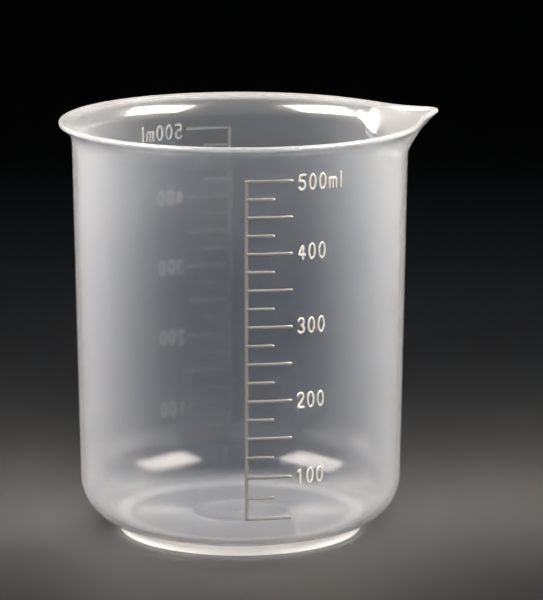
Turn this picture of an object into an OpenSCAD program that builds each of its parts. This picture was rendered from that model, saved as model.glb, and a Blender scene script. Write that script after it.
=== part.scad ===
// 500 ml laboratory beaker in translucent plastic: drafted wall, round heel, foot ring,
// flared rim, pouring spout and two raised graduated scales on opposite sides.
// Origin: vessel axis on the table plane. +Z up, +X through the spout.
// The real beaker is one moulding. Each node is one feature of it, and neighbours meet face to face.

/* [Body] */
// Height of the rim above the table
rim_height = 107.8; // [100:0.1:120]
// Outer diameter of the rim, without the spout
rim_diameter = 93.2; // [91:0.1:96]
// Outer diameter of the wall just under the rim
mouth_diameter = 86.5; // [84:0.1:88]
// Wall, floor and spout thickness
wall_t = 1.3; // [1:0.1:1.6]
// Draft of the wall, degrees from upright
wall_draft = 1; // [0:0.1:1.5]
// Outer radius of the heel between wall and floor
heel_r = 12.3; // [10:0.1:16]

/* [Rim] */
// Turn of the flare from upright, degrees
flare_turn = 66; // [55:1:75]
// Thickness of the rounded bead along rim and spout
bead_t = 1.5; // [1.3:0.05:1.8]

/* [Foot] */
// Outer diameter of the foot ring
foot_diameter = 63; // [56:0.1:66]
// Width of the foot ring
foot_w = 1.9; // [1.4:0.1:3]
// Height of the floor's underside above the table
foot_h = 2.3; // [2:0.1:3]
// Middle diameter of the round mould mark on the floor
gate_ring_diameter = 25; // [18:0.5:32]
// Width of that mark
gate_ring_w = 0.8; // [0.5:0.1:1.5]
// Height of that mark
gate_ring_h = 0.3; // [0.2:0.05:0.5]
// Diameter of the sprue mark in the middle of the floor
gate_nub_diameter = 1.8; // [1:0.1:2]
// Height of the sprue mark
gate_nub_h = 1; // [1:0.1:1.4]

/* [Spout] */
// Reach of the spout's lip from the vessel axis
spout_reach = 53.6; // [52:0.1:56]
// Half of the angle that the spout takes up on the rim, degrees
spout_half = 33; // [28:1:36]
// Half of the angle of the channel that runs through the spout, degrees
channel_half = 24; // [22:0.5:28]
// How far the channel's fold lies below the rim
channel_depth = 8.9; // [8:0.1:12]
// Flatness of the channel's floor (1 is a plain wave, more is flatter)
channel_flat = 2.8; // [1:0.1:3]
// Size of the fold between wall and channel
channel_knee = 0.5; // [0.4:0.05:1]
// Angle from the spout's middle where that fold starts to widen into the flare, degrees
fold_from = 21; // [18:0.5:23]
// Angle from the spout's middle where it has become the flare, degrees
fold_to = 28; // [25:0.5:30]
// How far the tip rises above the rim
spout_rise = 0.6; // [0:0.1:2]
// How sharply the lip runs out into the tip (1 is straight)
spout_beak = 3.5; // [2:0.1:4]
// Rounding of the tip, degrees about the axis
spout_tip_round = 1.5; // [1:0.1:3]

/* [Scales] */
// Volume that the scale reads too high, in ml
scale_offset = 5; // [0:0.5:15]
// Gain of the scale after that
scale_gain = 1.006; // [0.98:0.002:1.02]
// How far the 100 ml mark sits below its computed height (the 50 ml mark four times as far)
low_mark_drop = 0.32; // [0:0.02:0.5]
// Azimuth of the front scale's upright line, degrees from the spout
scale_azimuth = -103.9; // [-110:0.1:-90]
// Turn from the front scale to the rear one, degrees
rear_turn = 181.7; // [178:0.1:182]
// Relief of the raised marks
relief = 0.35; // [0.2:0.05:0.5]
// Width of the upright line
spine_w = 0.85; // [0.5:0.05:1.2]
// Height of a tick
tick_w = 0.8; // [0.4:0.05:1]
// Arc of the 50 ml ticks, degrees about the axis
long_tick = 15.8; // [12:0.1:18]
// Arc of the 25 ml ticks, degrees about the axis
short_tick = 9.5; // [6:0.1:12]
// Height of a numeral
digit_h = 4.3; // [3:0.1:5]
// Width of a numeral
digit_w = 2.2; // [1.8:0.1:2.6]
// Width of a numeral's stroke
stroke = 0.6; // [0.4:0.05:0.7]
// Distance from one numeral to the next, along the wall
digit_pitch = 2.8; // [2.7:0.05:3.2]
// Distance of the first numeral from the upright line, along the wall
label_start = 13.1; // [12.8:0.1:16]
// How much farther each of the hundreds sits above its tick than the one below does
label_rise = 0.13; // [0:0.01:0.3]
// How far the top label sits below the middle of its tick
label_sink = 0.6; // [0:0.1:1]

/* [Hidden] */
$fn = 96;

pp = [0.86, 0.88, 0.90, 0.6];
pp_edge = [0.93, 0.94, 0.95, 0.8];
pp_mark = [0.97, 0.98, 1.0];

big = 60;
lap = 0.01;

// Wall and flare
mouth_r = mouth_diameter / 2;
bead_r = bead_t / 2;
flare_mid_r = ((rim_diameter - mouth_diameter + wall_t) / 2 - bead_r) / (1 - cos(flare_turn));
lip_z = rim_height - bead_r;
flare_z = lip_z - flare_mid_r * sin(flare_turn);
flare_x = mouth_r - wall_t / 2 + flare_mid_r;
lip_x = flare_x - flare_mid_r * cos(flare_turn);
function wall_r(z) = mouth_r - (flare_z - z) * tan(wall_draft);

// Heel: an arc that is tangent to the wall and to the floor's underside
heel_z = foot_h + heel_r;
heel_top_z = heel_z - heel_r * sin(wall_draft);
heel_x = wall_r(heel_top_z) - heel_r * cos(wall_draft);

// Foot
foot_r = foot_diameter / 2;
floor_top = foot_h + wall_t;

// Inside radius at a height, and the volume of a slice one step high, in ml
fill_step = 0.25;
function inner_r(z) = z < heel_top_z
    ? heel_x + sqrt(max(0, pow(heel_r - wall_t, 2) - pow(heel_z - z, 2)))
    : wall_r(z) - wall_t;
function slice_ml(z) = PI * pow(inner_r(z + fill_step / 2), 2) * fill_step / 1000;

// Walk up from the floor until the wanted volume is reached
function fill_z(ml, z = floor_top, have = 0) =
    let (slice = slice_ml(z))
    have + slice >= ml ? z + fill_step * (ml - have) / slice : fill_z(ml, z + fill_step, have + slice);

// Height of a mark of the moulded scale
first_mark = 50;
last_mark = 500;
mark_step = 50;
function mark_z(ml) =
    fill_z(scale_gain * (ml - scale_offset)) - low_mark_drop * pow(max(0, 3 - ml / first_mark), 2);

long_marks = [first_mark:mark_step:last_mark];
short_marks = [first_mark + mark_step / 2:mark_step:last_mark - mark_step / 2];

// ---------- profiles, with x as the radius and y as the height ----------

// A pie slice from angle a0 to a1 about the origin
module pie(a0, a1) {
    am = (a0 + a1) / 2;
    polygon([[0, 0], big * [cos(a0), sin(a0)], big * [cos(am), sin(am)], big * [cos(a1), sin(a1)]]);
}

// A band of an annulus from radius r0 to r1 and from angle a0 to a1
module band(r0, r1, a0, a1) {
    intersection() {
        difference() {
            circle(r1);
            circle(r0);
        }
        pie(a0, a1);
    }
}

module wall_profile(inner, outer) {
    polygon([
        [heel_x + (heel_r - inner) * cos(wall_draft), heel_top_z + inner * sin(wall_draft)],
        [heel_x + (heel_r + outer) * cos(wall_draft), heel_top_z - outer * sin(wall_draft)],
        [mouth_r + outer, flare_z],
        [mouth_r - inner, flare_z]
    ]);
}

module heel_profile(inner, outer) {
    translate([heel_x, heel_z]) band(heel_r - inner, heel_r + outer, -90, -wall_draft);
}

// The thin layer on the outside of wall and heel that holds the raised marks
module relief_profile() {
    wall_profile(0, relief);
    heel_profile(0, relief);
}

// ---------- body ----------

module side_wall() {
    color(pp) difference() {
        rotate_extrude() wall_profile(wall_t, 0);
        spout_gap();
    }
}

module heel() {
    color(pp) rotate_extrude() heel_profile(wall_t, 0);
}

module floor() {
    color(pp) translate([0, 0, foot_h]) cylinder(r = heel_x, h = wall_t);
}

module foot_ring() {
    color(pp_edge) rotate_extrude() difference() {
        translate([foot_r - foot_w, 0]) square([foot_w, heel_z]);
        translate([heel_x, heel_z]) circle(heel_r);
        translate([0, heel_z / 2]) square([big, heel_z]);
    }
}

module rim_lip() {
    color(pp_edge) difference() {
        rotate_extrude() {
            translate([flare_x, flare_z])
                band(flare_mid_r - wall_t / 2, flare_mid_r + wall_t / 2, 180 - flare_turn, 180);
            translate([lip_x, lip_z]) circle(bead_r);
        }
        spout_gap();
    }
}

module gate_ring() {
    color(pp_edge) translate([0, 0, floor_top]) difference() {
        cylinder(d = gate_ring_diameter + gate_ring_w, h = gate_ring_h);
        translate([0, 0, -lap]) cylinder(d = gate_ring_diameter - gate_ring_w, h = gate_ring_h + 2 * lap);
    }
}

module gate_nub() {
    r = gate_nub_diameter / 2;
    color(pp_edge) translate([0, 0, floor_top]) {
        cylinder(r = r, h = gate_nub_h - r);
        translate([0, 0, gate_nub_h - r]) intersection() {
            sphere(r);
            cylinder(r = 2 * r, h = 2 * r);
        }
    }
}

// ---------- spout ----------

spout_n = 17;
spout_angles = [for (i = [-spout_n:spout_n]) spout_half * i / spout_n];
knee = flare_mid_r * tan(flare_turn / 2);
keel_z = rim_height - channel_depth;
tip_x = spout_reach - bead_r;
curve_w = cos(flare_turn / 2);

// 0 outside the channel, 1 in its middle
function swell(u) = (1 + cos(180 * pow(min(1, abs(u) / channel_half), channel_flat))) / 2;
// 1 at the spout's two ends, 0 in its middle, with a rounded turn there
function blunt(u) =
    let (e = spout_tip_round) (sqrt(u * u + e * e) - e) / (sqrt(spout_half * spout_half + e * e) - e);
// 0 at the spout's two ends, 1 at the tip of its lip
function beak(u) = pow(max(0, 1 - blunt(u)), spout_beak);

// The middle of the wall: it rises to the root, turns outward at the knee and runs to the lip
function fold(u) = (1 - cos(180 * min(1, max(0, (abs(u) - fold_from) / (fold_to - fold_from))))) / 2;
function knee_size(u) = channel_knee + (knee - channel_knee) * fold(u);
function root_z(u) = flare_z + (keel_z - channel_knee - flare_z) * swell(u);
function knee_z(u) = root_z(u) + knee_size(u);
function root(u) = [wall_r(root_z(u)) - wall_t / 2, root_z(u)];
function bend(u) = [wall_r(root_z(u)) - wall_t / 2, knee_z(u)];
function lip(u) = [lip_x + (tip_x - lip_x) * beak(u), lip_z + spout_rise * beak(u)];

// A conic from root to lip; at the spout's ends it is the circular arc of the flare
function conic(u, t) =
    let (a = pow(1 - t, 2), b = 2 * curve_w * t * (1 - t), c = t * t)
    (a * root(u) + b * bend(u) + c * lip(u)) / (a + b + c);
function unit(v) = v / norm(v);
function heading(u, t) = t <= 0 ? unit(bend(u) - root(u))
    : t >= 1 ? unit(lip(u) - bend(u))
    : unit(conic(u, t + lap) - conic(u, t - lap));
function side(v) = [v[1], -v[0]];

curve_n = 8;
round_n = 6;
bead_back = acos(wall_t / bead_t);
// One closed outline of the spout's wall, cut by the upright plane at angle u
function section(u) = concat(
    [for (i = [0:curve_n - 1]) let (t = i / curve_n) conic(u, t) + wall_t / 2 * side(heading(u, t))],
    [for (i = [0:round_n]) let (a = (180 + 2 * bead_back) * i / round_n - bead_back, v = heading(u, 1))
        lip(u) + bead_r * (cos(a) * side(v) + sin(a) * v)],
    [for (i = [curve_n - 1:-1:0]) let (t = i / curve_n) conic(u, t) - wall_t / 2 * side(heading(u, t))]
);

// The room that the spout takes out of wall and rim
gap_in = 36;
gap_out = 64;
gap_top = rim_height + spout_rise + bead_t;
function gap_section(u) = [[gap_in, root_z(u)], [gap_out, root_z(u)], [gap_out, gap_top], [gap_in, gap_top]];

function turned(p, u) = [p[0] * cos(u), p[0] * sin(u), p[1]];

// A solid through a row of closed outlines, all with the same number of points
module loft(rings) {
    n = len(rings[0]);
    m = len(rings);
    points = [for (ring = rings) each ring];
    sides = [for (j = [0:m - 2], i = [0:n - 1]) let (k = (i + 1) % n)
        each [[j * n + i, j * n + k, (j + 1) * n + k], [j * n + i, (j + 1) * n + k, (j + 1) * n + i]]];
    polyhedron(points, concat([[for (i = [n - 1:-1:0]) i]], sides, [[for (i = [0:n - 1]) (m - 1) * n + i]]));
}

module spout() {
    color(pp_edge) loft([for (u = spout_angles) [for (p = section(u)) turned(p, u)]]);
}

module spout_gap() {
    loft([for (u = spout_angles) [for (p = gap_section(u)) turned(p, u)]]);
}

// ---------- scales ----------

front = scale_azimuth;
rear = scale_azimuth + rear_turn;
arc_mm = PI * mouth_r / 180;

// A piece of the relief layer, from angle 0 to turn and from height z0 to z1
module patch(turn, z0, z1) {
    rotate_extrude(angle = turn) intersection() {
        relief_profile();
        translate([0, z0]) square([big, z1 - z0]);
    }
}

module tick(ml, turn) {
    z = mark_z(ml);
    patch(turn, z - tick_w / 2, z + tick_w / 2);
}

module ticks(azimuth, marks, turn) {
    start = spine_w / arc_mm / 2;
    color(pp_mark) rotate([0, 0, azimuth + start]) for (ml = marks) tick(ml, turn - start);
}

module spine(azimuth) {
    turn = spine_w / arc_mm;
    color(pp_mark) rotate([0, 0, azimuth - turn / 2])
        patch(turn, mark_z(first_mark) - tick_w / 2, mark_z(last_mark) + tick_w / 2);
}

// Strokes of the numerals, in a cell that is digit_w wide and digit_h high
module line(a, b) {
    v = b - a;
    translate(a) rotate(atan2(v[1], v[0])) translate([-stroke / 2, -stroke / 2])
        square([norm(v) + stroke, stroke]);
}

module arc(c, r, a0, a1) {
    translate(c) band(r - stroke / 2, r + stroke / 2, a0, a1);
}

x0 = stroke / 2;
x1 = digit_w - stroke / 2;
xm = digit_w / 2;
y0 = stroke / 2;
y1 = digit_h - stroke / 2;
ym = digit_h / 2;
bowl_r = (x1 - x0) / 2;

module glyph_0() {
    arc([xm, y1 - bowl_r], bowl_r, 0, 90);
    arc([xm, y1 - bowl_r], bowl_r, 90, 180);
    arc([xm, y0 + bowl_r], bowl_r, 180, 270);
    arc([xm, y0 + bowl_r], bowl_r, 270, 360);
    translate([0, y0 + bowl_r - lap]) square([stroke, y1 - y0 - 2 * bowl_r + 2 * lap]);
    translate([x1 - stroke / 2, y0 + bowl_r - lap]) square([stroke, y1 - y0 - 2 * bowl_r + 2 * lap]);
}

module glyph_1() {
    line([xm, y0], [xm, y1]);
    line([xm, y1], [x0, y1 - bowl_r]);
}

module glyph_2() {
    arc([xm, y1 - bowl_r], bowl_r, -40, 60);
    arc([xm, y1 - bowl_r], bowl_r, 55, 165);
    line([xm + bowl_r * cos(40), y1 - bowl_r - bowl_r * sin(40)], [x0, y0]);
    line([x0, y0], [x1, y0]);
}

module glyph_3() {
    r = (y1 - y0) / 4;
    c = x1 - r;
    for (y = [y0 + r, y0 + 3 * r]) {
        arc([c, y], r, -90, 10);
        arc([c, y], r, 0, 90);
    }
    line([x0, y0], [c, y0]);
    line([xm - stroke / 2, ym], [c, ym]);
    line([x0, y1], [c, y1]);
}

bar_4 = 0.3;
module glyph_4() {
    post = x1 - stroke / 2;
    bar = y0 + bar_4 * digit_h;
    line([post, y0], [post, y1]);
    line([post, y1], [x0, bar]);
    line([x0, bar], [x1, bar]);
}

bowl_5 = 0.29;
module glyph_5() {
    r = bowl_5 * digit_h;
    c = [x1 - r, y0 + r];
    arc(c, r, -100, 0);
    arc(c, r, -10, 100);
    line([x0, y0], [c[0], y0]);
    line([x0, y0 + 2 * r], [c[0], y0 + 2 * r]);
    line([x0, y0 + 2 * r], [x0, y1]);
    line([x0, y1], [x1, y1]);
}

wide_m = 1.25;
high_m = 0.68;
m_w = wide_m * digit_w;
module glyph_m() {
    w = (m_w - stroke) / 2;
    top = high_m * digit_h - (w + stroke) / 2;
    for (x = [x0, x0 + w, x0 + 2 * w]) line([x, y0], [x, top]);
    for (x = [x0 + w / 2, x0 + 3 * w / 2]) {
        arc([x, top], w / 2, -1, 91);
        arc([x, top], w / 2, 89, 181);
    }
}

module glyph_l() {
    line([x0, y0], [x0, y1]);
}

module glyph(c) {
    if (c == 0) glyph_0();
    if (c == 1) glyph_1();
    if (c == 2) glyph_2();
    if (c == 3) glyph_3();
    if (c == 4) glyph_4();
    if (c == 5) glyph_5();
    if (c == "m") glyph_m();
    if (c == "l") glyph_l();
}

// Glyphs side by side along the wall, each cut through the relief layer, near the height of a mark
label_span = 10;
label_margin = 1;
module label(azimuth, ml, glyphs, rise) {
    z = mark_z(ml) + rise - digit_h / 2;
    for (i = [0:len(glyphs) - 1]) {
        gap_m = glyphs[i] == "l" ? m_w - digit_w : 0;
        along = label_start + i * digit_pitch + gap_m;
        color(pp_mark) rotate([0, 0, azimuth + (along + digit_w / 2) / arc_mm]) intersection() {
            rotate([0, 0, -label_span / 2]) patch(label_span, z - label_margin, z + digit_h + label_margin);
            translate([0, -digit_w / 2, z]) rotate([90, 0, 90]) linear_extrude(big) glyph(glyphs[i]);
        }
    }
}

// Two zeros behind the hundreds
level_label = 250;
module hundreds(azimuth, ml) {
    label(azimuth, ml, [ml / 100, 0, 0], label_rise * (ml - level_label) / 100);
}

side_wall();
heel();
floor();
foot_ring();
rim_lip();
spout();
gate_ring();
gate_nub();
spine(front);  // scale_spine_front
ticks(front, long_marks, long_tick);  // long_ticks_front
ticks(front, short_marks, short_tick);  // short_ticks_front
label(front, 500, [5, 0, 0, "m", "l"], -label_sink);  // numerals_500ml_front
hundreds(front, 400);  // numerals_400_front
hundreds(front, 300);  // numerals_300_front
hundreds(front, 200);  // numerals_200_front
hundreds(front, 100);  // numerals_100_front
spine(rear);  // scale_spine_rear
ticks(rear, long_marks, long_tick);  // long_ticks_rear
ticks(rear, short_marks, short_tick);  // short_ticks_rear
label(rear, 500, [5, 0, 0, "m", "l"], -label_sink);  // numerals_500ml_rear
hundreds(rear, 400);  // numerals_400_rear
hundreds(rear, 300);  // numerals_300_rear
hundreds(rear, 200);  // numerals_200_rear
hundreds(rear, 100);  // numerals_100_rear
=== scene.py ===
"""Looks of a 500 ml laboratory beaker in translucent plastic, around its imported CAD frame.

Lengths are in metres and angles in degrees. +Z is up and +X runs through the spout.
The real beaker is one moulding, so the whole vessel is one closed mesh.
The raised marks are ridges on it.
"""

import math

import bmesh
import bpy
import numpy as np
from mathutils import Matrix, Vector


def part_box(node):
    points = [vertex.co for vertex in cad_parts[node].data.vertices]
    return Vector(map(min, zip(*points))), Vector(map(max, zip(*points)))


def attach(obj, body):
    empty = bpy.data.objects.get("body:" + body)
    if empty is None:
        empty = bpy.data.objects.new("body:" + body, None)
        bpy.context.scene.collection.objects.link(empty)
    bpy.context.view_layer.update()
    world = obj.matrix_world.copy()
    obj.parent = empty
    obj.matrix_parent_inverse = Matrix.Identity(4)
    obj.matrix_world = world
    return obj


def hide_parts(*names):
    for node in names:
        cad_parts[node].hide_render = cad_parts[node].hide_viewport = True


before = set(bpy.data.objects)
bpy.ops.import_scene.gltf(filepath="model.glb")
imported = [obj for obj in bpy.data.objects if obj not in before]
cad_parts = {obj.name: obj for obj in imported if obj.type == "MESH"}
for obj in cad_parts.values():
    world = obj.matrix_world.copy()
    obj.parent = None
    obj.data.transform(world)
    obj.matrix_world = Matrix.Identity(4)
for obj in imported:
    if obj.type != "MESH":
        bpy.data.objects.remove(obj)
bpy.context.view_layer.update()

MM = 0.001


def sin(degrees):
    return np.sin(np.radians(degrees))


def cos(degrees):
    return np.cos(np.radians(degrees))


# ---------- camera ----------

CAMERA_AZIMUTH = -106.0
CAMERA_DISTANCE = 1.0628
CAMERA_HEIGHT = 0.2752
CAMERA_PITCH = 11.435
CAMERA_PAN = 0.437
CAMERA_LENS = 250.98
CAMERA_SENSOR = 36.0


def make_camera():
    data = bpy.data.cameras.new("camera")
    data.lens = CAMERA_LENS
    data.sensor_width = CAMERA_SENSOR
    camera = bpy.data.objects.new("camera", data)
    camera.location = (
        CAMERA_DISTANCE * cos(CAMERA_AZIMUTH),
        CAMERA_DISTANCE * sin(CAMERA_AZIMUTH),
        CAMERA_HEIGHT,
    )
    heading = CAMERA_AZIMUTH + 180 - CAMERA_PAN
    camera.rotation_euler = (math.radians(90 - CAMERA_PITCH), 0, math.radians(heading - 90))
    bpy.context.scene.collection.objects.link(camera)
    bpy.context.scene.camera = camera


# ---------- shape of the vessel, from the CAD frame ----------

WALL_DRAFT = 1.0
FLARE_TURN = 66.0
BEAD_T = 1.5 * MM
FOOT_W = 1.9 * MM
GATE_RING_W = 0.8 * MM
SPOUT_HALF = 33.0
SPOUT_BEAK = 3.5
SPOUT_TIP_ROUND = 1.5
CHANNEL_HALF = 24.0
CHANNEL_FLAT = 2.8
CHANNEL_KNEE = 0.5 * MM
FOLD_FROM = 21.0
FOLD_TO = 28.0

rim_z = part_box("rim_lip")[1].z
rim_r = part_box("rim_lip")[1].y
mouth_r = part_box("side_wall")[1].y
flare_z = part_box("side_wall")[1].z
foot_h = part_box("floor")[0].z
floor_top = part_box("floor")[1].z
heel_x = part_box("floor")[1].y
foot_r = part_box("foot_ring")[1].y
wall_t = floor_top - foot_h
heel_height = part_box("heel")[1].z - foot_h
heel_r = (heel_height - wall_t * sin(WALL_DRAFT)) / (1 - sin(WALL_DRAFT))
heel_z = foot_h + heel_r
heel_top_z = heel_z - heel_r * sin(WALL_DRAFT)
gate_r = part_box("gate_ring")[1].y
gate_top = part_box("gate_ring")[1].z
nub_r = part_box("gate_nub")[1].y
nub_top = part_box("gate_nub")[1].z

bead_r = BEAD_T / 2
lip_z = rim_z - bead_r
flare_mid_r = (rim_r - mouth_r + wall_t / 2 - bead_r) / (1 - cos(FLARE_TURN))
lip_x = rim_r - bead_r
knee = flare_mid_r * math.tan(math.radians(FLARE_TURN / 2))
keel_root_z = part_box("spout")[0].z
tip_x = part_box("spout")[1].x - bead_r
tip_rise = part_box("spout")[1].z - rim_z
curve_w = cos(FLARE_TURN / 2)
bead_back = math.degrees(math.acos(wall_t / BEAD_T))


def wall_r(z):
    """Outer radius of the drafted wall."""
    return mouth_r - (flare_z - z) * math.tan(math.radians(WALL_DRAFT))


def swell(u):
    """0 outside the spout's channel, 1 in its middle."""
    share = min(1.0, abs(u) / CHANNEL_HALF)
    return (1 + cos(180 * share**CHANNEL_FLAT)) / 2


def knee_size(u):
    """Size of the fold between wall and spout, which widens into the flare."""
    share = min(1.0, max(0.0, (abs(u) - FOLD_FROM) / (FOLD_TO - FOLD_FROM)))
    return CHANNEL_KNEE + (knee - CHANNEL_KNEE) * (1 - cos(180 * share)) / 2


def beak(u):
    """0 at the spout's two ends and beyond, 1 at the rounded tip of its lip."""
    e = SPOUT_TIP_ROUND
    blunt = (math.hypot(u, e) - e) / (math.hypot(SPOUT_HALF, e) - e)
    return max(0.0, 1 - blunt) ** SPOUT_BEAK


def unit(v):
    return v / np.linalg.norm(v)


def flare_curve(u, steps):
    """Middle line of the flare or spout at azimuth u: points, and the outward side at each."""
    root_z = flare_z + (keel_root_z - flare_z) * swell(u)
    root = np.array([wall_r(root_z) - wall_t / 2, root_z])
    bend = np.array([root[0], root_z + knee_size(u)])
    lip = np.array([lip_x + (tip_x - lip_x) * beak(u), lip_z + tip_rise * beak(u)])
    points = []
    sides = []
    for t in np.linspace(0, 1, steps + 1):
        a, b, c = (1 - t) ** 2, 2 * curve_w * t * (1 - t), t * t
        total = a + b + c
        points.append((a * root + b * bend + c * lip) / total)
        da, db, dc = -2 * (1 - t), 2 * curve_w * (1 - 2 * t), 2 * t
        slope = da * root + db * bend + dc * lip - points[-1] * (da + db + dc)
        ahead = unit(slope)
        sides.append(np.array([ahead[1], -ahead[0]]))
    return np.array(points), np.array(sides)


def arc(centre, radius, start, end, steps):
    """Points on an arc, both ends included."""
    return [
        (centre[0] + radius * cos(a), centre[1] + radius * sin(a))
        for a in np.linspace(start, end, steps + 1)
    ]


def between(a, b, steps):
    """Points from a to b, without either end."""
    a, b = np.array(a), np.array(b)
    return [tuple(a + (b - a) * i / steps) for i in range(1, steps)]


def rounded(corners, steps=4):
    """A line through corners (r, z, radius), with each corner rounded by its radius."""
    line = []
    for i, (r, z, radius) in enumerate(corners):
        here = np.array([r, z])
        if radius == 0 or i in (0, len(corners) - 1):
            line.append((r, z))
            continue
        before = unit(np.array(corners[i - 1][:2]) - here)
        after = unit(np.array(corners[i + 1][:2]) - here)
        half = math.acos(float(np.clip(before @ after, -1, 1))) / 2
        reach = radius / math.tan(half)
        for t in np.linspace(0, 1, steps + 1):
            a, b, c = (1 - t) ** 2, 2 * math.sin(half) * t * (1 - t), t * t
            bent = a * (here + reach * before) + b * here + c * (here + reach * after)
            line.append(tuple(bent / (a + b + c)))
    return line


# ---------- the vessel ----------

DOME_STEPS = 6
FLOOR_STEPS = 6
HEEL_STEPS = 18
WALL_STEPS = 30
FLARE_STEPS = 16
BEAD_STEPS = 16
RING_EDGE = 0.1 * MM
FOOT_EDGE = 0.4 * MM
CREASE = 0.12 * MM


def floor_line():
    """Top of the floor, from the axis outward: sprue mark, floor, round mould mark, floor."""
    dome = arc((0, nub_top - nub_r), nub_r, 90, 0, DOME_STEPS)
    inner = gate_r - GATE_RING_W
    steps = rounded([
        (nub_r, nub_top - nub_r, 0),
        (nub_r, floor_top, CREASE),
        (inner / 2, floor_top, 0),
        (inner, floor_top, RING_EDGE),
        (inner, gate_top, RING_EDGE),
        (gate_r, gate_top, RING_EDGE),
        (gate_r, floor_top, RING_EDGE),
        ((gate_r + heel_x) / 2, floor_top, 0),
    ])
    return dome[:-1] + steps + between(steps[-1], (heel_x, floor_top), FLOOR_STEPS)


def foot_line():
    """Outside of the foot ring and the underside, from the heel inward to the axis."""
    meet = heel_z - math.sqrt(heel_r**2 - (foot_r - heel_x) ** 2)
    inner = foot_r - FOOT_W
    edge = rounded([
        (foot_r + 2 * CREASE, meet + CREASE / 4, 0),
        (foot_r, meet, CREASE),
        (foot_r, 0, FOOT_EDGE),
        (inner, 0, FOOT_EDGE),
        (inner, foot_h, CREASE),
        (inner - FOOT_W, foot_h, 0),
    ])
    return edge[1:] + between(edge[-1], (0, foot_h), 2 * FLOOR_STEPS) + [(0, foot_h)]


def outline(u):
    """The vessel's outline at azimuth u: inside from the axis up, over the lip, outside down to the axis."""
    middle, sides = flare_curve(u, FLARE_STEPS)
    inside = middle - wall_t / 2 * sides
    outside = middle + wall_t / 2 * sides
    lip = middle[-1]
    side = sides[-1]
    ahead = np.array([-side[1], side[0]])
    turns = np.linspace(180 + bead_back, -bead_back, BEAD_STEPS + 1)
    bead = [tuple(lip + bead_r * (cos(a) * side + sin(a) * ahead)) for a in turns]
    heel = (heel_x, heel_z)
    foot_turn = -math.degrees(math.acos((foot_r + 2 * CREASE - heel_x) / heel_r))
    heel_in = arc(heel, heel_r - wall_t, -90, -WALL_DRAFT, HEEL_STEPS)
    heel_out = arc(heel, heel_r, -WALL_DRAFT, foot_turn, HEEL_STEPS)
    return np.array(
        floor_line()
        + heel_in
        + between(heel_in[-1], inside[0], WALL_STEPS)
        + [tuple(p) for p in inside[:-1]]
        + bead
        + [tuple(p) for p in outside[-2::-1]]
        + between(outside[0], heel_out[0], WALL_STEPS)
        + heel_out
        + foot_line()
    )


WALL_TURN = 1.25
SPOUT_STEPS = 96
SPOUT_GATHER = 1.5


def azimuths():
    """Even steps around the wall, and finer ones in the spout that gather at its tip."""
    spout = [
        SPOUT_HALF * math.copysign(abs(q) ** SPOUT_GATHER, q)
        for q in np.linspace(-1, 1, SPOUT_STEPS + 1)
    ]
    rest = 360 - 2 * SPOUT_HALF
    steps = round(rest / WALL_TURN)
    return spout + [SPOUT_HALF + rest * i / steps for i in range(1, steps)]


def new_object(name, vertices, faces):
    mesh = bpy.data.meshes.new(name)
    mesh.from_pydata([tuple(v) for v in vertices], [], faces)
    mesh.validate()
    mesh.shade_smooth()
    piece = bpy.data.objects.new(name, mesh)
    bpy.context.scene.collection.objects.link(piece)
    return piece


def make_vessel():
    turns = azimuths()
    rings = [outline(u) for u in turns]
    inner_count = len(rings[0]) - 2
    columns = len(turns)
    vertices = [(0, 0, rings[0][0][1])]
    for u, ring in zip(turns, rings):
        vertices += [(r * cos(u), r * sin(u), z) for r, z in ring[1:-1]]
    vertices.append((0, 0, rings[0][-1][1]))
    last = len(vertices) - 1
    faces = []
    for i in range(columns):
        a = 1 + i * inner_count
        b = 1 + (i + 1) % columns * inner_count
        faces.append((0, a, b))
        faces += [(a + j, a + j + 1, b + j + 1, b + j) for j in range(inner_count - 1)]
        faces.append((last, b + inner_count - 1, a + inner_count - 1))
    return new_object("vessel", vertices, faces)


# ---------- raised marks ----------

SINK = 0.03 * MM
RIDGE_SIDES = 8
END_RINGS = 4
TICK_STEPS = 12
SPINE_STEPS = 60
SPINE_W = 0.85 * MM
TICK_W = 0.8 * MM
STROKE_W = 0.6 * MM
RELIEF = 0.25 * MM
SPINE_RELIEF = 0.15 * MM


def surface(azimuth, z):
    """The point on the outside of wall and heel at an azimuth and height, and the outward normal there."""
    if z > heel_top_z:
        r, out, up = wall_r(z), cos(WALL_DRAFT), -sin(WALL_DRAFT)
    else:
        out = math.sqrt(1 - ((heel_z - z) / heel_r) ** 2)
        up = (z - heel_z) / heel_r
        r = heel_x + heel_r * out
    ray = np.array([cos(azimuth), sin(azimuth)])
    return np.array([*(r * ray), z]), np.array([*(out * ray), up])


def on_wall(azimuth, along, z, lift):
    """A point at a distance along the wall from an azimuth, raised from the surface by lift."""
    point, normal = surface(azimuth + math.degrees(along / mouth_r), z)
    return point + lift * normal


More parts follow.
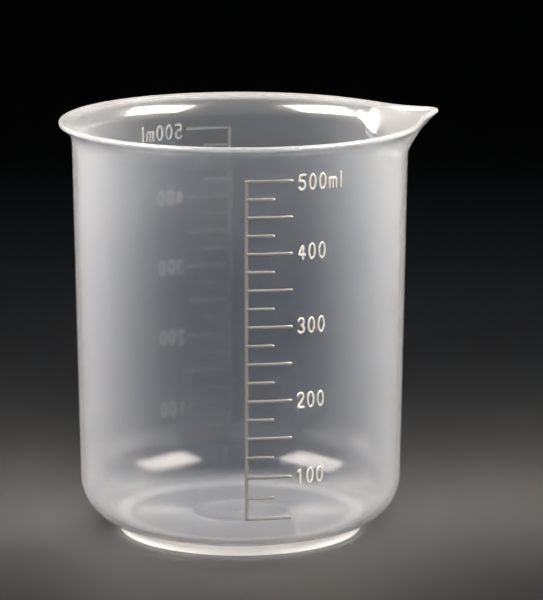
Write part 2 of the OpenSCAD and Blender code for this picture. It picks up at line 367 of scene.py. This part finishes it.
def ridge(azimuth, path, width, height):
    """A half-round ridge with round ends along a path of (along, z) points on the wall."""
    path = np.array(path)
    ahead = np.gradient(path, axis=0)
    ahead /= np.linalg.norm(ahead, axis=1)[:, None]
    stations = []
    for i in range(END_RINGS, 0, -1):
        back = width / 2 * sin(90 * i / END_RINGS)
        stations.append((path[0] - back * ahead[0], ahead[0], cos(90 * i / END_RINGS)))
    stations += [(p, v, 1.0) for p, v in zip(path, ahead)]
    for i in range(1, END_RINGS + 1):
        back = width / 2 * sin(90 * i / END_RINGS)
        stations.append((path[-1] + back * ahead[-1], ahead[-1], cos(90 * i / END_RINGS)))

    def ring(point, heading, scale):
        across = np.array([heading[1], -heading[0]])
        points = []
        for a in np.linspace(0, 180, RIDGE_SIDES + 1):
            along, z = point + width / 2 * scale * cos(a) * across
            points.append(on_wall(azimuth, along, z, height * scale * sin(a)))
        for s in (-1, 1):
            along, z = point + s * width / 2 * scale * across
            points.append(on_wall(azimuth, along, z, -SINK))
        return points

    count = RIDGE_SIDES + 3
    body = stations[1:-1]
    vertices = [p for station in body for p in ring(*station)]
    faces = []
    for j in range(len(body) - 1):
        for i in range(count):
            k = (i + 1) % count
            faces.append((j * count + i, j * count + k, (j + 1) * count + k, (j + 1) * count + i))
    first, last = len(vertices), len(vertices) + 1
    for station in (stations[0], stations[-1]):
        vertices.append(on_wall(azimuth, *station[0], -SINK / 2))
    end = (len(body) - 1) * count
    for i in range(count):
        k = (i + 1) % count
        faces.append((first, k, i))
        faces.append((last, end + i, end + k))
    return vertices, faces


def joined(name, parts):
    """One object from ridges, united where they cross."""
    piece = new_object(name, *parts[0])
    for part in parts[1:]:
        other = new_object(name + "_part", *part)
        union = piece.modifiers.new("union", "BOOLEAN")
        union.operation = "UNION"
        union.solver = "MANIFOLD"
        union.object = other
        graph = bpy.context.evaluated_depsgraph_get()
        mesh = bpy.data.meshes.new_from_object(piece.evaluated_get(graph))
        piece.modifiers.clear()
        piece.data = mesh
        bpy.data.objects.remove(other)
    piece.data.shade_smooth()
    return piece


def stack(name, parts):
    """One object from ridges that don't touch."""
    vertices = []
    faces = []
    for part_vertices, part_faces in parts:
        start = len(vertices)
        vertices += part_vertices
        faces += [tuple(start + i for i in face) for face in part_faces]
    return new_object(name, vertices, faces)


OVAL_TURN = 15


def oval(cx, cy, rx, ry, start, end):
    """Points on part of an ellipse."""
    steps = round(abs(end - start) / OVAL_TURN)
    return [(cx + rx * cos(a), cy + ry * sin(a)) for a in np.linspace(start, end, steps + 1)]


# Middle lines of the glyphs in a cell one unit wide and two high
GLYPHS = {
    "0": [oval(0.5, 1, 0.5, 1, 90, 450)],
    "1": [[(0.15, 1.62), (0.3, 1.68), (0.45, 1.8), (0.55, 2), (0.55, 1), (0.55, 0)]],
    "2": [oval(0.5, 1.5, 0.48, 0.5, 165, -35) + [(0.45, 0.6), (0.0, 0.0), (0.5, 0.0), (1, 0)]],
    "3": [oval(0.47, 1.5, 0.45, 0.5, 160, -80) + oval(0.47, 0.52, 0.5, 0.52, 80, -155)],
    "4": [[(0.72, 0), (0.72, 1), (0.72, 2), (0.36, 1.28), (0.0, 0.56), (0.5, 0.56), (1.02, 0.56)]],
    "5": [
        [(0.95, 2), (0.5, 2), (0.12, 2), (0.07, 1.55), (0.02, 1.08)]
        + oval(0.46, 0.6, 0.52, 0.6, 115, -150)
    ],
    "m": [
        [(0, 0), (0, 0.7), (0, 1.3)],
        oval(0.31, 0.97, 0.31, 0.33, 180, 0) + [(0.62, 0.5), (0.62, 0)],
        oval(0.93, 0.97, 0.31, 0.33, 180, 0) + [(1.24, 0.5), (1.24, 0)],
    ],
    "l": [[(0, 0), (0, 1), (0, 2)]],
}
DIGIT_W = 2.2 * MM
DIGIT_H = 4.3 * MM
DIGIT_PITCH = 2.8 * MM
LABEL_START = 13.1 * MM
M_EXTRA = 0.55 * MM
LABELS = ("500ml", "400", "300", "200", "100")
SMOOTHING = 2


def smoothed(path):
    """A line with its corners cut, twice over, and both ends kept."""
    path = np.array(path, float)
    for _ in range(SMOOTHING):
        near = 0.75 * path[:-1] + 0.25 * path[1:]
        far = 0.25 * path[:-1] + 0.75 * path[1:]
        path = np.vstack([path[:1], np.stack([near, far], 1).reshape(-1, 2)[1:-1], path[-1:]])
    return path


def cad_points(node):
    return np.array([v.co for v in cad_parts[node].data.vertices])


def spine_azimuth(side):
    centre = cad_points("scale_spine_" + side).mean(0)
    return math.degrees(math.atan2(centre[1], centre[0]))


def marks(node):
    """Middle height of each tick in a CAD node, and how far they reach from the scale's upright line."""
    points = cad_points(node)
    start = spine_azimuth(node.split("_")[-1])
    turn = np.degrees(np.arctan2(points[:, 1], points[:, 0])) - start
    heights = np.sort(points[:, 2])
    groups = np.split(heights, np.where(np.diff(heights) > MM)[0] + 1)
    return [(g[0] + g[-1]) / 2 for g in groups], math.radians(turn.max()) * mouth_r


def tick_path(z, end):
    return [(along, z) for along in np.linspace(SPINE_W / 2, end, TICK_STEPS + 1)]


def make_ticks(kind, side):
    node = f"{kind}_ticks_{side}"
    heights, reach = marks(node)
    end = reach - TICK_W / 2
    parts = [ridge(spine_azimuth(side), tick_path(z, end), TICK_W, RELIEF) for z in heights]
    return stack(node, parts), [node]


def make_spine(side):
    node = "scale_spine_" + side
    low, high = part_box(node)
    path = [(0, z) for z in np.linspace(low.z + TICK_W / 2, high.z - TICK_W / 2, SPINE_STEPS + 1)]
    return stack(node, [ridge(spine_azimuth(side), path, SPINE_W, SPINE_RELIEF)]), [node]


def make_label(text, side):
    node = f"numerals_{text}_{side}"
    low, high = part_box(node)
    middle = (low.z + high.z) / 2
    scale = DIGIT_W - STROKE_W, (DIGIT_H - STROKE_W) / 2
    glyphs = []
    for i, letter in enumerate(text):
        left = LABEL_START + i * DIGIT_PITCH + STROKE_W / 2 + (M_EXTRA if letter == "l" else 0)
        strokes = [
            ridge(
                spine_azimuth(side),
                [(left + x * scale[0], middle + (y - 1) * scale[1]) for x, y in smoothed(line)],
                STROKE_W,
                RELIEF,
            )
            for line in GLYPHS[letter]
        ]
        glyphs.append(joined(f"{node}_{i}", strokes))
    return joined_objects(node, glyphs), [node]


def joined_objects(name, pieces):
    """One object from several that don't touch."""
    mesh = bmesh.new()
    for piece in pieces:
        mesh.from_mesh(piece.data)
        bpy.data.objects.remove(piece)
    data = bpy.data.meshes.new(name)
    mesh.to_mesh(data)
    mesh.free()
    data.shade_smooth()
    whole = bpy.data.objects.new(name, data)
    bpy.context.scene.collection.objects.link(whole)
    return whole


# ---------- materials ----------

class Nodes:
    """A short way to write node trees."""

    def __init__(self, material):
        material.use_nodes = True
        self.tree = material.node_tree
        self.shader = self.tree.nodes["Principled BSDF"]

    def add(self, kind, values=None, **settings):
        node = self.tree.nodes.new("ShaderNode" + kind)
        for key, value in settings.items():
            setattr(node, key, value)
        for key, value in (values or {}).items():
            self.put(node.inputs[key], value)
        return node

    def put(self, socket, value):
        if isinstance(value, bpy.types.NodeSocket):
            self.tree.links.new(value, socket)
        else:
            socket.default_value = value

    def place(self, stretch=(1, 1, 1)):
        """Object coordinates, stretched."""
        where = self.add("TexCoord").outputs["Object"]
        return self.add("Mapping", {"Vector": where, "Scale": stretch}).outputs["Vector"]

    def noise(self, size, stretch=(1, 1, 1), detail=2.0):
        """Soft noise with features about size across."""
        values = {"Vector": self.place(stretch), "Scale": 1 / size, "Detail": detail}
        return self.add("TexNoise", values).outputs["Fac"]

    def span(self, value, low, high, start=0.0, end=1.0):
        """From low to high while value goes from start to end."""
        values = {"Value": value, "From Min": start, "From Max": end, "To Min": low, "To Max": high}
        return self.add("MapRange", values).outputs["Result"]

    def mix(self, share, first, second):
        node = self.add("Mix", data_type="RGBA")
        self.put(node.inputs["Factor"], share)
        self.put(node.inputs["A"], first)
        self.put(node.inputs["B"], second)
        return node.outputs["Result"]

    def maths(self, operation, first, second):
        node = self.add("Math", operation=operation)
        self.put(node.inputs[0], first)
        self.put(node.inputs[1], second)
        return node.outputs["Value"]


IOR = 1.49
COAT_WEIGHT = 0.4
COAT_ROUGHNESS = 0.08
SCATTER_COLOUR = (0.42, 0.66, 1, 1)
SCATTER_FORWARD = 0.2
FACING_FROM = 0.1

# Sizes of the patterns in the plastic, and how far each one acts
STREAK_SIZE = 4 * MM
STREAK_STRETCH = (1, 1, 0.12)
CLOUD_SIZE = 16 * MM
CLOUD_LEAST = 0.4
NOISE_BAND = (0.35, 0.65)
SPECK_SPACING = 5 * MM
SPECK_EDGE = (0.02, 0.035)
SKIN_SIZE = 0.9 * MM
SKIN_SHARE = 0.1
PEEL_SIZE = 3.2 * MM
BUMP_STRENGTH = 0.02
BUMP_DEPTH = 0.03 * MM
STREAK_ROUGHNESS = 0.05
ROUGHNESS_CUT_BELOW = 0.025
ROUGHNESS_GAIN_AT_RIM = 0.12
ROUGHNESS_CHANGE_Z = (101 * MM, 103 * MM)

# Heights and radii between which each zone of whitening, partly painted light, fades, and its full weight
FOOT_ZONE_Z = (2.4 * MM, 4.5 * MM)
FLOOR_ZONE_Z = (4.0 * MM, 6.5 * MM)
FLOOR_ZONE = 0.9
RING_IN_R = (28.0 * MM, 29.8 * MM)
RING_OUT_R = (31.6 * MM, 33.2 * MM)
OFF_RING = 0.45
WALL_ZONE_Z = (72 * MM, 101 * MM)
WALL_ZONE = 0.02
RIM_ZONE_Z = (105.8 * MM, 106.8 * MM)
RIM_ZONE = 0.12
SPOUT_ZONE_X = (38.5 * MM, 43 * MM)
SPOUT_ZONE_Z = (98.0 * MM, 100.0 * MM)
SPOUT_ZONE = 0.1


def thick_and_painted_light_zones(n):
    """How much whiter the moulding looks, from 0 to 1: foot ring, floor, upper wall, rim bead and spout. The
    plastic is thicker only in the foot ring and rim bead. Throughout these zones the whitening is also
    painted light, standing in for light that these parts catch from the lamps and from the plastic around
    them.
    """
    where = n.add("SeparateXYZ", {"Vector": n.place()}).outputs
    flat = n.place((1, 1, 0))
    radius = n.add("VectorMath", {"Vector": flat}, operation="LENGTH").outputs["Value"]
    low = n.span(where["Z"], 1, 0, *FLOOR_ZONE_Z)
    ring_in = n.span(radius, OFF_RING, 1, *RING_IN_R)
    ring_out = n.span(radius, 1, OFF_RING, *RING_OUT_R)
    ring = n.maths("MULTIPLY", ring_in, n.maths("MULTIPLY", ring_out, FLOOR_ZONE))
    foot = n.maths("MULTIPLY", n.span(where["Z"], 1, 0, *FOOT_ZONE_Z), ring_in)
    floor = n.maths("MULTIPLY", low, ring)
    wall = n.span(where["Z"], 0, WALL_ZONE, *WALL_ZONE_Z)
    top = n.maths("MAXIMUM", wall, n.span(where["Z"], 0, RIM_ZONE, *RIM_ZONE_Z))
    out = n.span(where["X"], 0, SPOUT_ZONE, *SPOUT_ZONE_X)
    high = n.span(where["Z"], 0, 1, *SPOUT_ZONE_Z)
    spout = n.maths("MULTIPLY", out, high)
    return n.maths("MAXIMUM", n.maths("MAXIMUM", foot, floor), n.maths("MAXIMUM", top, spout))


def plastic(name, tint, cloud, roughness, clear, edge, haze, zones):
    """Moulded polypropylene with flow streaks, clouds, a faint orange-peel skin and small specks.

    It lets through the share clear where it faces the view, and clear - edge where it turns away.
    """
    material = bpy.data.materials.new(name)
    n = Nodes(material)
    streaks = n.noise(STREAK_SIZE, STREAK_STRETCH, 3)
    clouds = n.noise(CLOUD_SIZE)
    skin = n.noise(SKIN_SIZE, detail=3)
    peel = n.noise(PEEL_SIZE)
    cell = n.add("TexVoronoi", {"Vector": n.place(), "Scale": 1 / SPECK_SPACING})
    speck = n.span(cell.outputs["Distance"], 1.0, 0.0, *SPECK_EDGE)
    cloudy = n.span(clouds, CLOUD_LEAST, 1, *NOISE_BAND)
    flow = n.maths("MULTIPLY", n.span(streaks, 0, 1, *NOISE_BAND), cloudy)
    n.put(n.shader.inputs["Base Color"], n.mix(n.maths("MAXIMUM", flow, speck), tint, cloud))
    high = n.add("SeparateXYZ", {"Vector": n.place()}).outputs["Z"]
    least = roughness - ROUGHNESS_CUT_BELOW
    most = roughness + ROUGHNESS_GAIN_AT_RIM
    rough = n.maths("MULTIPLY_ADD", streaks, STREAK_ROUGHNESS)
    n.put(rough.node.inputs[2], n.span(high, least, most, *ROUGHNESS_CHANGE_Z))
    n.put(n.shader.inputs["Roughness"], rough)
    height = n.maths("MULTIPLY_ADD", skin, SKIN_SHARE)
    n.put(height.node.inputs[2], peel)
    bump = n.add("Bump", {"Strength": BUMP_STRENGTH, "Distance": BUMP_DEPTH, "Height": height})
    n.put(n.shader.inputs["Normal"], bump.outputs["Normal"])
    n.shader.inputs["IOR"].default_value = IOR
    n.shader.inputs["Coat Weight"].default_value = COAT_WEIGHT
    n.shader.inputs["Coat Roughness"].default_value = COAT_ROUGHNESS
    facing = n.add("LayerWeight", {"Blend": 0.5}).outputs["Facing"]
    through = n.span(facing, clear, clear - edge, FACING_FROM, 1)
    # Less clear in the zones: thicker plastic in the foot ring and rim bead, and painted light there and in
    # the floor, upper wall and spout
    through = n.maths("MULTIPLY", through, n.span(thick_and_painted_light_zones(n), 1, 1 - zones))
    n.put(n.shader.inputs["Transmission Weight"], through)
    values = {"Color": SCATTER_COLOUR, "Density": haze, "Anisotropy": SCATTER_FORWARD}
    scatter = n.add("VolumeScatter", values)
    n.put(n.tree.nodes["Material Output"].inputs["Volume"], scatter.outputs["Volume"])
    return material


FLOOR_DARK = (0.44, 0.44, 0.45, 1)
FLOOR_LIGHT = (0.50, 0.50, 0.51, 1)
FLOOR_ROUGHNESS = (0.55, 0.7)
FLOOR_MOTTLE = 60 * MM
FLOOR_GRAIN = 1.2 * MM
FLOOR_BUMP = 0.15
FLOOR_BUMP_DEPTH = 0.1 * MM


def floor_material():
    """Matt light grey studio floor with a slight mottle. It is dimly lit, so it renders darker than it is."""
    material = bpy.data.materials.new("floor")
    n = Nodes(material)
    mottle = n.noise(FLOOR_MOTTLE, detail=5)
    n.put(n.shader.inputs["Base Color"], n.mix(mottle, FLOOR_DARK, FLOOR_LIGHT))
    n.put(n.shader.inputs["Roughness"], n.span(mottle, *FLOOR_ROUGHNESS))
    grain = n.noise(FLOOR_GRAIN, detail=4)
    bump = n.add("Bump", {"Strength": FLOOR_BUMP, "Distance": FLOOR_BUMP_DEPTH, "Height": grain})
    n.put(n.shader.inputs["Normal"], bump.outputs["Normal"])
    return material


# ---------- floor and light ----------

FLOOR_HALF = 3.0
LIGHT_TARGET = Vector((0, 0, 0.05))
FOOT_TARGET = Vector((0, 0, 0.002))
BOX_TURN = 69
WARM = (1.0, 0.905, 0.785)
COOL = (0.9, 0.95, 1.0)
WORLD_COLOUR = (0.75, 0.85, 1, 1)
WORLD_STRENGTH = 0.002
VOLUME_BOUNCES = 8


def make_floor():
    h = FLOOR_HALF
    floor = new_object("studio_floor", [(-h, -h, 0), (h, -h, 0), (h, h, 0), (-h, h, 0)], [(0, 1, 2, 3)])
    floor.data.materials.append(floor_material())


def soft_box(
    name, turn, elevation, distance, size, power, colour, spread, receivers=None, target=LIGHT_TARGET
):
    """A rectangular area light that faces the target. Turn is counted from the camera, to the right.

    With receivers it lights only what is in that collection.
    """
    data = bpy.data.lights.new(name, "AREA")
    data.shape = "RECTANGLE"
    data.size, data.size_y = size
    data.energy = power
    data.color = colour
    data.spread = math.radians(spread)
    light = bpy.data.objects.new(name, data)
    azimuth = CAMERA_AZIMUTH + turn
    ray = Vector((cos(elevation) * cos(azimuth), cos(elevation) * sin(azimuth), sin(elevation)))
    light.location = target + distance * ray
    light.rotation_euler = ray.to_track_quat("Z", "Y").to_euler()
    light.visible_camera = False
    light.light_linking.receiver_collection = receivers
    bpy.context.scene.collection.objects.link(light)


def make_lights(receivers):
    """Two side boxes and a strip for the foot, which light only the receivers, and a dim floor light."""
    for name, turn in (("left_box", -BOX_TURN), ("right_box", BOX_TURN)):
        soft_box(
            name, turn, elevation=36, distance=0.9, size=(0.72, 0.52),
            power=30, colour=WARM, spread=180, receivers=receivers,
        )
    soft_box(
        "foot_light", 0, elevation=1, distance=0.3, size=(0.5, 0.004),
        power=0.028, colour=WARM, spread=10, receivers=receivers, target=FOOT_TARGET,
    )
    soft_box(
        "floor_light", 180, elevation=60, distance=0.9, size=(0.5, 0.5),
        power=0.05, colour=COOL, spread=60,
    )
    world = bpy.data.worlds.new("world")
    world.use_nodes = True
    background = world.node_tree.nodes["Background"]
    background.inputs["Color"].default_value = WORLD_COLOUR
    background.inputs["Strength"].default_value = WORLD_STRENGTH
    scene = bpy.context.scene
    scene.world = world
    scene.view_settings.view_transform = "Standard"
    scene.cycles.volume_bounces = VOLUME_BOUNCES
    # With the light tree the weak foot strip is sampled too rarely, and the foot comes out patchy
    scene.cycles.use_light_tree = False


# ---------- the scene ----------

def dress(piece, material, nodes):
    """Give a piece its material, its body and the CAD nodes that it replaces."""
    piece.data.materials.clear()
    piece.data.materials.append(material)
    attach(piece, "root")
    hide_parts(*nodes)
    beaker.objects.link(piece)


BODY_NODES = ["side_wall", "heel", "floor", "foot_ring", "rim_lip", "spout", "gate_ring", "gate_nub"]

make_camera()
make_floor()
beaker = bpy.data.collections.new("beaker")
make_lights(beaker)

body = plastic(
    "milky_plastic", tint=(0.875, 0.905, 0.965, 1), cloud=(0.92, 0.945, 0.99, 1),
    roughness=0.085, clear=0.98, edge=0.22, haze=66, zones=0.8,
)
# The marks' plastics are whiter and less clear than the body's, though the beaker is one moulding: painted
# light, standing in for the light that their rounded ridges catch
lines = plastic(
    "line_plastic_painted_light", tint=(0.92, 0.94, 0.97, 1), cloud=(0.97, 0.98, 1, 1),
    roughness=0.25, clear=0.88, edge=0.1, haze=58, zones=0,
)
figures = plastic(
    "figure_plastic_painted_light", tint=(0.93, 0.95, 0.98, 1), cloud=(1, 1, 1, 1),
    roughness=0.25, clear=0.62, edge=0.1, haze=58, zones=0,
)

dress(make_vessel(), body, BODY_NODES)
for side in ("front", "rear"):
    for piece, nodes in (make_spine(side), make_ticks("long", side), make_ticks("short", side)):
        dress(piece, lines, nodes)
    for text in LABELS:
        piece, nodes = make_label(text, side)
        dress(piece, figures, nodes)
